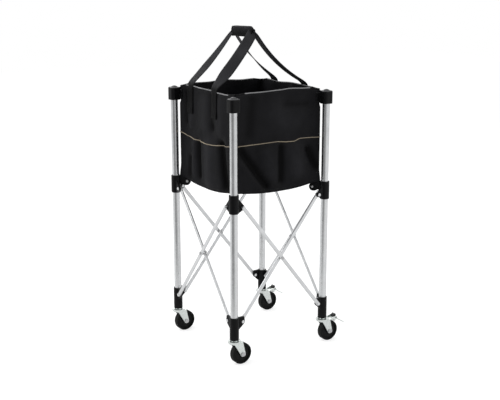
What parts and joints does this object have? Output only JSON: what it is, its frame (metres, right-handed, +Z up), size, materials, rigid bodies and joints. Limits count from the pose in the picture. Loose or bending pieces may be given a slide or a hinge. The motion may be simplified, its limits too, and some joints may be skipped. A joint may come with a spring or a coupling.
{
  "type": "tennis ball cart",
  "caption": "Folding ball cart: scissor-braced aluminium frame on swivel casters that holds a square open-topped fabric bag with a webbing carry handle.",
  "frame": {"origin": "on the floor, under the centre of the four posts", "axes": "+Z up, -Y the front side, -X the left side; the casters trail towards +X"},
  "size_m": [0.4851, 0.415, 1.1055],
  "materials": {
    "post_aluminium": "anodised, satin",
    "brace_aluminium": "mill, satin",
    "cap_plastic": "moulded nylon",
    "bracket_plastic": "moulded nylon",
    "zinc_steel": "zinc plated",
    "bolt_steel": "bright plated",
    "wheel_rubber": "moulded rubber",
    "bag_fabric": "coated polyester",
    "webbing": "woven webbing",
    "grip_fabric": "padded wrap"
  },
  "bodies": {
    "post_front_left_body": {"post_front_left": "post_aluminium", "cap_front_left": "cap_plastic", "foot_front_left": "bracket_plastic", "caster_stem_front_left": "zinc_steel", "bag_wall_front": "bag_fabric", "bag_wall_left": "bag_fabric"},
    "post_front_right_body": {"post_front_right": "post_aluminium", "cap_front_right": "cap_plastic", "foot_front_right": "bracket_plastic", "caster_stem_front_right": "zinc_steel", "bag_wall_right": "bag_fabric"},
    "post_rear_right_body": {"post_rear_right": "post_aluminium", "cap_rear_right": "cap_plastic", "foot_rear_right": "bracket_plastic", "caster_stem_rear_right": "zinc_steel"},
    "post_rear_left_body": {"post_rear_left": "post_aluminium", "cap_rear_left": "cap_plastic", "foot_rear_left": "bracket_plastic", "caster_stem_rear_left": "zinc_steel", "bag_wall_rear": "bag_fabric"},
    "brace_front_rising_body": {"brace_front_rising": "brace_aluminium", "crossing_rivet_front": "bolt_steel"},
    "brace_front_falling_body": {"brace_front_falling": "brace_aluminium"},
    "slider_front_left_body": {"slider_front_left": "bracket_plastic"},
    "slider_front_right_body": {"slider_front_right": "bracket_plastic"},
    "brace_left_rising_body": {"brace_left_rising": "brace_aluminium", "crossing_rivet_left": "bolt_steel"},
    "brace_left_falling_body": {"brace_left_falling": "brace_aluminium"},
    "slider_rear_left_body": {"slider_rear_left": "bracket_plastic"},
    "brace_right_rising_body": {"brace_right_rising": "brace_aluminium", "crossing_rivet_right": "bolt_steel"},
    "brace_right_falling_body": {"brace_right_falling": "brace_aluminium"},
    "slider_rear_right_body": {"slider_rear_right": "bracket_plastic"},
    "brace_rear_rising_body": {"brace_rear_rising": "brace_aluminium", "crossing_rivet_rear": "bolt_steel"},
    "brace_rear_falling_body": {"brace_rear_falling": "brace_aluminium"},
    "bag_floor_front_body": {"bag_floor_front": "bag_fabric"},
    "bag_floor_left_body": {"bag_floor_left": "bag_fabric"},
    "bag_floor_right_body": {"bag_floor_right": "bag_fabric"},
    "bag_floor_rear_body": {"bag_floor_rear": "bag_fabric"},
    "handle_grip_body": {"handle_grip": "grip_fabric"},
    "handle_strap_left_front_body": {"handle_strap_left_front": "webbing"},
    "handle_strap_left_rear_body": {"handle_strap_left_rear": "webbing"},
    "handle_strap_right_front_body": {"handle_strap_right_front": "webbing"},
    "handle_strap_right_rear_body": {"handle_strap_right_rear": "webbing"},
    "caster_swivel_front_left_body": {"caster_fork_front_left": "zinc_steel", "caster_axle_front_left": "bolt_steel"},
    "wheel_front_left_body": {"wheel_front_left": "wheel_rubber"},
    "caster_swivel_front_right_body": {"caster_fork_front_right": "zinc_steel", "caster_axle_front_right": "bolt_steel"},
    "wheel_front_right_body": {"wheel_front_right": "wheel_rubber"},
    "brake_pedal_front_right_body": {"brake_pedal_front_right": "zinc_steel"},
    "caster_swivel_rear_right_body": {"caster_fork_rear_right": "zinc_steel", "caster_axle_rear_right": "bolt_steel"},
    "wheel_rear_right_body": {"wheel_rear_right": "wheel_rubber"},
    "brake_pedal_rear_right_body": {"brake_pedal_rear_right": "zinc_steel"},
    "caster_swivel_rear_left_body": {"caster_fork_rear_left": "zinc_steel", "caster_axle_rear_left": "bolt_steel"},
    "wheel_rear_left_body": {"wheel_rear_left": "wheel_rubber"}
  },
  "joints": [
    {"name": "fold", "type": "hinge", "parent": "post_front_left_body", "child": "brace_front_rising_body", "pos_m": [-0.156, -0.185, 0.148], "axis": [0, -1, 0], "range_deg": [0, 28], "deforming": ["bag_wall_front", "bag_wall_left", "bag_wall_right", "bag_wall_rear", "bag_floor_front", "bag_floor_left", "bag_floor_right", "bag_floor_rear", "handle_strap_left_front", "handle_strap_left_rear", "handle_strap_right_front", "handle_strap_right_rear"]},
    {"name": "front_crossing", "type": "hinge", "parent": "brace_front_rising_body", "child": "brace_front_falling_body", "pos_m": [0, -0.185, 0.34275], "axis": [0, -1, 0], "range_deg": [-56.11, 0]},
    {"name": "front_falling_foot_pivot", "type": "hinge", "parent": "brace_front_falling_body", "child": "post_front_right_body", "pos_m": [0.156, -0.185, 0.148], "axis": [0, -1, 0], "range_deg": [0, 28.06]},
    {"name": "front_falling_slider_pivot", "type": "hinge", "parent": "brace_front_falling_body", "child": "slider_front_left_body", "pos_m": [-0.156, -0.185, 0.5375], "axis": [0, -1, 0], "range_deg": [0, 28.06]},
    {"name": "front_rising_slider_pivot", "type": "hinge", "parent": "brace_front_rising_body", "child": "slider_front_right_body", "pos_m": [0.156, -0.185, 0.5375], "axis": [0, -1, 0], "range_deg": [-28.06, 0]},
    {"name": "left_rising_foot_pivot", "type": "hinge", "parent": "post_front_left_body", "child": "brace_left_rising_body", "pos_m": [-0.185, -0.156, 0.148], "axis": [1, 0, 0], "range_deg": [0, 28.06]},
    {"name": "left_crossing", "type": "hinge", "parent": "brace_left_rising_body", "child": "brace_left_falling_body", "pos_m": [-0.185, 0, 0.34275], "axis": [1, 0, 0], "range_deg": [-56.11, 0]},
    {"name": "left_falling_foot_pivot", "type": "hinge", "parent": "brace_left_falling_body", "child": "post_rear_left_body", "pos_m": [-0.185, 0.156, 0.148], "axis": [1, 0, 0], "range_deg": [0, 28.06]},
    {"name": "left_rising_slider_pivot", "type": "hinge", "parent": "brace_left_rising_body", "child": "slider_rear_left_body", "pos_m": [-0.185, 0.156, 0.5375], "axis": [1, 0, 0], "range_deg": [-28.06, 0]},
    {"name": "right_rising_foot_pivot", "type": "hinge", "parent": "post_front_right_body", "child": "brace_right_rising_body", "pos_m": [0.185, -0.156, 0.148], "axis": [1, 0, 0], "range_deg": [0, 28.06]},
    {"name": "right_crossing", "type": "hinge", "parent": "brace_right_rising_body", "child": "brace_right_falling_body", "pos_m": [0.185, 0, 0.34275], "axis": [1, 0, 0], "range_deg": [-56.11, 0]},
    {"name": "right_falling_foot_pivot", "type": "hinge", "parent": "brace_right_falling_body", "child": "post_rear_right_body", "pos_m": [0.185, 0.156, 0.148], "axis": [1, 0, 0], "range_deg": [0, 28.06]},
    {"name": "right_rising_slider_pivot", "type": "hinge", "parent": "brace_right_rising_body", "child": "slider_rear_right_body", "pos_m": [0.185, 0.156, 0.5375], "axis": [1, 0, 0], "range_deg": [-28.06, 0]},
    {"name": "rear_rising_foot_pivot", "type": "hinge", "parent": "post_rear_left_body", "child": "brace_rear_rising_body", "pos_m": [-0.156, 0.185, 0.148], "axis": [0, -1, 0], "range_deg": [0, 28.06]},
    {"name": "rear_crossing", "type": "hinge", "parent": "brace_rear_rising_body", "child": "brace_rear_falling_body", "pos_m": [0, 0.185, 0.34275], "axis": [0, -1, 0], "range_deg": [-56.11, 0]},
    {"name": "bag_floor_front_drop", "type": "hinge", "parent": "post_front_left_body", "child": "bag_floor_front_body", "pos_m": [0, -0.1662, 0.5825], "axis": [-1, 0, 0], "range_deg": [0, 65.18]},
    {"name": "bag_floor_left_drop", "type": "hinge", "parent": "post_front_left_body", "child": "bag_floor_left_body", "pos_m": [-0.1662, 0, 0.5825], "axis": [0, 1, 0], "range_deg": [0, 65.18]},
    {"name": "bag_floor_right_drop", "type": "hinge", "parent": "post_front_right_body", "child": "bag_floor_right_body", "pos_m": [0.1662, 0, 0.5825], "axis": [0, -1, 0], "range_deg": [0, 65.18]},
    {"name": "bag_floor_rear_drop", "type": "hinge", "parent": "post_rear_left_body", "child": "bag_floor_rear_body", "pos_m": [0, 0.1662, 0.5825], "axis": [1, 0, 0], "range_deg": [0, 65.18]},
    {"name": "handle_grip_follow", "type": "slide", "parent": "post_front_left_body", "child": "handle_grip_body", "axis": [-0.6825, -0.6825, 0.2613], "range_m": [0, 0.16103]},
    {"name": "handle_strap_left_front_follow", "type": "slide", "parent": "handle_grip_body", "child": "handle_strap_left_front_body", "axis": [0.9042, 0.2503, -0.3462], "range_m": [0, 0.12156]},
    {"name": "handle_strap_left_rear_follow", "type": "slide", "parent": "handle_grip_body", "child": "handle_strap_left_rear_body", "axis": [0.8063, -0.5045, -0.3087], "range_m": [0, 0.13631]},
    {"name": "handle_strap_right_front_follow", "type": "slide", "parent": "handle_grip_body", "child": "handle_strap_right_front_body", "axis": [-0.839, 0.4392, -0.3212], "range_m": [0, 0.131]},
    {"name": "handle_strap_right_rear_follow", "type": "slide", "parent": "handle_grip_body", "child": "handle_strap_right_rear_body", "axis": [-0.839, -0.4392, -0.3212], "range_m": [0, 0.131]},
    {"name": "swivel_front_left", "type": "hinge", "parent": "post_front_left_body", "child": "caster_swivel_front_left_body", "pos_m": [-0.185, -0.185, 0], "axis": [0, 0, 1], "continuous": true},
    {"name": "wheel_spin_front_left", "type": "hinge", "parent": "caster_swivel_front_left_body", "child": "wheel_front_left_body", "pos_m": [-0.16, -0.185, 0.0365], "axis": [0, 1, 0], "continuous": true},
    {"name": "swivel_front_right", "type": "hinge", "parent": "post_front_right_body", "child": "caster_swivel_front_right_body", "pos_m": [0.185, -0.185, 0], "axis": [0, 0, 1], "continuous": true},
    {"name": "wheel_spin_front_right", "type": "hinge", "parent": "caster_swivel_front_right_body", "child": "wheel_front_right_body", "pos_m": [0.21, -0.185, 0.0365], "axis": [0, 1, 0], "continuous": true},
    {"name": "brake_front_right", "type": "hinge", "parent": "caster_swivel_front_right_body", "child": "brake_pedal_front_right_body", "pos_m": [0.237, -0.185, 0.0795], "axis": [0, 1, 0], "range_deg": [0, 22]},
    {"name": "swivel_rear_right", "type": "hinge", "parent": "post_rear_right_body", "child": "caster_swivel_rear_right_body", "pos_m": [0.185, 0.185, 0], "axis": [0, 0, 1], "continuous": true},
    {"name": "wheel_spin_rear_right", "type": "hinge", "parent": "caster_swivel_rear_right_body", "child": "wheel_rear_right_body", "pos_m": [0.21, 0.185, 0.0365], "axis": [0, 1, 0], "continuous": true},
    {"name": "brake_rear_right", "type": "hinge", "parent": "caster_swivel_rear_right_body", "child": "brake_pedal_rear_right_body", "pos_m": [0.237, 0.185, 0.0795], "axis": [0, 1, 0], "range_deg": [0, 22]},
    {"name": "swivel_rear_left", "type": "hinge", "parent": "post_rear_left_body", "child": "caster_swivel_rear_left_body", "pos_m": [-0.185, 0.185, 0], "axis": [0, 0, 1], "continuous": true},
    {"name": "wheel_spin_rear_left", "type": "hinge", "parent": "caster_swivel_rear_left_body", "child": "wheel_rear_left_body", "pos_m": [-0.16, 0.185, 0.0365], "axis": [0, 1, 0], "continuous": true}
  ],
  "couplings": [
    {"joint": "front_crossing", "follows": "fold", "ratio": -2},
    {"joint": "front_falling_foot_pivot", "follows": "fold", "ratio": 1},
    {"joint": "front_falling_slider_pivot", "follows": "fold", "ratio": 1},
    {"joint": "front_rising_slider_pivot", "follows": "fold", "ratio": -1},
    {"joint": "left_rising_foot_pivot", "follows": "fold", "ratio": 1},
    {"joint": "left_crossing", "follows": "fold", "ratio": -2},
    {"joint": "left_falling_foot_pivot", "follows": "fold", "ratio": 1},
    {"joint": "left_rising_slider_pivot", "follows": "fold", "ratio": -1},
    {"joint": "right_rising_foot_pivot", "follows": "fold", "ratio": 1},
    {"joint": "right_crossing", "follows": "fold", "ratio": -2},
    {"joint": "right_falling_foot_pivot", "follows": "fold", "ratio": 1},
    {"joint": "right_rising_slider_pivot", "follows": "fold", "ratio": -1},
    {"joint": "rear_rising_foot_pivot", "follows": "fold", "ratio": 1},
    {"joint": "rear_crossing", "follows": "fold", "ratio": -2},
    {"joint": "bag_floor_front_drop", "follows": "fold", "ratio": 2.3232},
    {"joint": "bag_floor_left_drop", "follows": "fold", "ratio": 2.3232},
    {"joint": "bag_floor_right_drop", "follows": "fold", "ratio": 2.3232},
    {"joint": "bag_floor_rear_drop", "follows": "fold", "ratio": 2.3232},
    {"joint": "handle_grip_follow", "follows": "fold", "m_per_rad": 0.32886},
    {"joint": "handle_strap_left_front_follow", "follows": "fold", "m_per_rad": 0.24825},
    {"joint": "handle_strap_left_rear_follow", "follows": "fold", "m_per_rad": 0.27838},
    {"joint": "handle_strap_right_front_follow", "follows": "fold", "m_per_rad": 0.26753},
    {"joint": "handle_strap_right_rear_follow", "follows": "fold", "m_per_rad": 0.26753}
  ]
}
